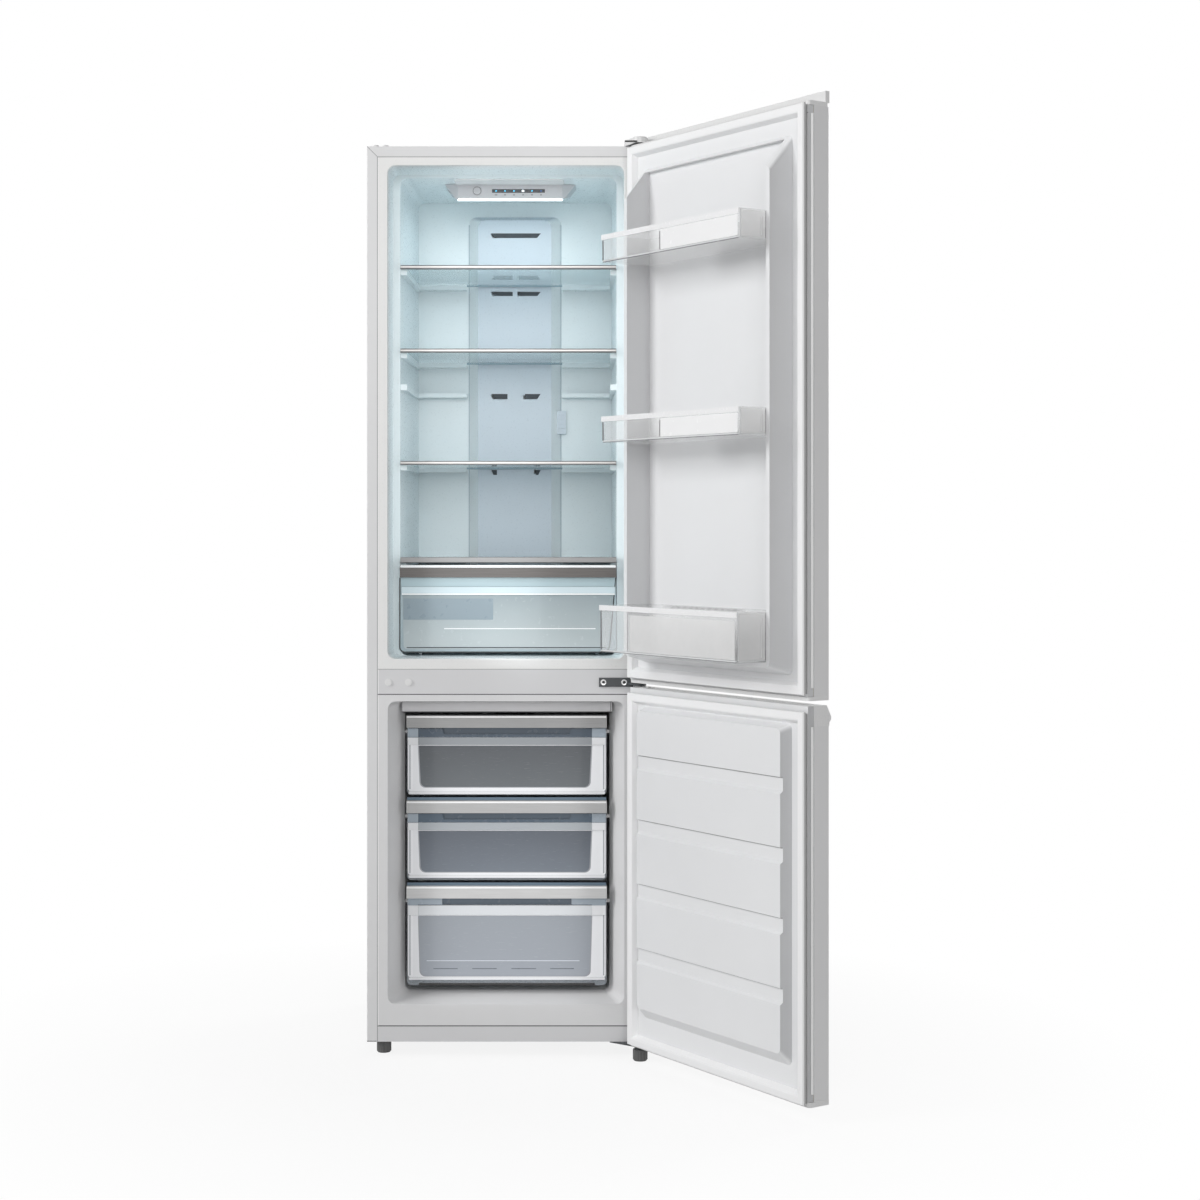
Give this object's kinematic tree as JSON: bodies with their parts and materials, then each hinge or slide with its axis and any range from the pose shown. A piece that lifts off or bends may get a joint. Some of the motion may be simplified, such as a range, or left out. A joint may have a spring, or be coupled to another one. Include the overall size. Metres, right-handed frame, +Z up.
{
  "type": "bottom freezer refrigerator",
  "caption": "Tall refrigerator with a glass-shelved fridge over a drawer freezer, both right-hinged doors standing open on their door bins and liners.",
  "frame": {"origin": "on the floor, below the middle of the cabinet's front edge", "axes": "+Z up, +X to the right as seen from the front, +Y from the front edge into the cabinet; both doors rest open by 123.8 degrees"},
  "size_m": [0.8687, 1.0015, 1.815],
  "materials": {
    "cabinet_paint": "satin white",
    "rail_paint": "satin white",
    "rear_sheet": "galvanised grey",
    "foam": "rigid foam",
    "liner": "vacuum-formed white",
    "door_liner": "vacuum-formed white",
    "door_paint": "satin white",
    "cap_plastic": "moulded white",
    "seal": "matt light grey",
    "duct_plastic": "moulded white",
    "clear_plastic": "clear styrene",
    "white_trim": "translucent white",
    "shelf_glass": "toughened glass",
    "shelf_trim": "satin",
    "drawer_bar": "brushed",
    "crisper_bar": "brushed",
    "fascia": "grey",
    "hinge_steel": "dark grey",
    "foot_plastic": "dark grey",
    "lens": "frosted",
    "display": "dark window",
    "coil": "finned",
    "compressor_paint": "gloss black",
    "pan": "galvanised"
  },
  "bodies": {
    "cabinet": {"outer_wrap": "cabinet_paint", "rear_panel": "rear_sheet", "cabinet_foam": "foam", "fridge_liner": "liner", "freezer_liner": "liner", "centre_rail": "rail_paint", "bottom_rail": "rail_paint", "base_pan": "pan", "hole_plugs": "cap_plastic", "top_hinge": "hinge_steel", "top_hinge_cover": "cap_plastic", "middle_hinge": "hinge_steel", "bottom_hinge": "hinge_steel", "air_duct_cover": "duct_plastic", "evaporator_cover": "duct_plastic", "evaporator": "coil", "compressor": "compressor_paint", "control_housing": "duct_plastic", "display_strip": "display", "lamp_lens": "lens", "crisper_cover_glass": "shelf_glass", "crisper_cover_trim": "shelf_trim", "freezer_fascia": "fascia"},
    "upper_door": {"upper_door_skin": "door_paint", "upper_door_foam": "foam", "upper_door_liner": "door_liner", "upper_door_gasket": "seal", "upper_door_top_cap": "cap_plastic", "upper_door_bottom_cap": "cap_plastic", "upper_bin": "clear_plastic", "middle_bin": "clear_plastic", "bottom_bin": "clear_plastic", "bin_trims": "white_trim", "bottle_comb": "clear_plastic"},
    "lower_door": {"lower_door_skin": "door_paint", "lower_door_foam": "foam", "lower_door_liner": "door_liner", "lower_door_gasket": "seal", "lower_door_handle_cap": "cap_plastic", "lower_door_bottom_cap": "cap_plastic"},
    "shelf_1": {"shelf_1_glass": "shelf_glass", "shelf_1_trim": "shelf_trim"},
    "shelf_2": {"shelf_2_glass": "shelf_glass", "shelf_2_trim": "shelf_trim"},
    "shelf_3": {"shelf_3_glass": "shelf_glass", "shelf_3_trim": "shelf_trim"},
    "crisper": {"crisper_tub": "clear_plastic", "crisper_bar": "crisper_bar"},
    "freezer_drawer_1": {"freezer_drawer_1_tub": "clear_plastic", "freezer_drawer_1_bar": "drawer_bar"},
    "freezer_drawer_2": {"freezer_drawer_2_tub": "clear_plastic", "freezer_drawer_2_bar": "drawer_bar"},
    "freezer_drawer_3": {"freezer_drawer_3_tub": "clear_plastic", "freezer_drawer_3_bar": "drawer_bar"},
    "fan": {"fan_rotor": "duct_plastic"},
    "temperature_key": {"temperature_button": "cap_plastic"},
    "front_left_foot": {"left_foot": "foot_plastic"},
    "front_right_foot": {"right_foot": "foot_plastic"},
    "rear_left_roller": {"left_roller": "foot_plastic"},
    "rear_right_roller": {"right_roller": "foot_plastic"}
  },
  "joints": [
    {"name": "upper_door_hinge", "type": "hinge", "parent": "cabinet", "child": "upper_door", "pos_m": [0.265, -0.03, 1.268], "axis": [0, 0, 1], "range_deg": [-123.8, 4]},
    {"name": "lower_door_hinge", "type": "hinge", "parent": "cabinet", "child": "lower_door", "pos_m": [0.265, -0.03, 0.382], "axis": [0, 0, 1], "range_deg": [-123.8, 4]},
    {"name": "shelf_1_slide", "type": "slide", "parent": "cabinet", "child": "shelf_1", "axis": [0, -1, 0], "range_m": [0, 0.2]},
    {"name": "shelf_2_slide", "type": "slide", "parent": "cabinet", "child": "shelf_2", "axis": [0, -1, 0], "range_m": [0, 0.2]},
    {"name": "shelf_3_slide", "type": "slide", "parent": "cabinet", "child": "shelf_3", "axis": [0, -1, 0], "range_m": [0, 0.2]},
    {"name": "crisper_slide", "type": "slide", "parent": "cabinet", "child": "crisper", "axis": [0, -1, 0], "range_m": [0, 0.2]},
    {"name": "freezer_drawer_1_slide", "type": "slide", "parent": "cabinet", "child": "freezer_drawer_1", "axis": [0, -1, 0], "range_m": [0, 0.26]},
    {"name": "freezer_drawer_2_slide", "type": "slide", "parent": "cabinet", "child": "freezer_drawer_2", "axis": [0, -1, 0], "range_m": [0, 0.26]},
    {"name": "freezer_drawer_3_slide", "type": "slide", "parent": "cabinet", "child": "freezer_drawer_3", "axis": [0, -1, 0], "range_m": [0, 0.17]},
    {"name": "fan_spin", "type": "hinge", "parent": "cabinet", "child": "fan", "pos_m": [0, 0.3995, 0.62], "axis": [0, 1, 0], "continuous": true},
    {"name": "temperature_key_press", "type": "slide", "parent": "cabinet", "child": "temperature_key", "axis": [0, 1, 0], "range_m": [0, 0.0012], "stiffness_N_per_m": 400},
    {"name": "front_left_foot_turn", "type": "hinge", "parent": "cabinet", "child": "front_left_foot", "pos_m": [-0.245, 0.04, 0.011], "axis": [0, 0, 1], "continuous": true},
    {"name": "front_right_foot_turn", "type": "hinge", "parent": "cabinet", "child": "front_right_foot", "pos_m": [0.265, -0.03, 0.011], "axis": [0, 0, 1], "continuous": true},
    {"name": "rear_left_roller_spin", "type": "hinge", "parent": "cabinet", "child": "rear_left_roller", "pos_m": [-0.23, 0.47, 0.013], "axis": [1, 0, 0], "continuous": true},
    {"name": "rear_right_roller_spin", "type": "hinge", "parent": "cabinet", "child": "rear_right_roller", "pos_m": [0.23, 0.47, 0.013], "axis": [1, 0, 0], "continuous": true}
  ]
}
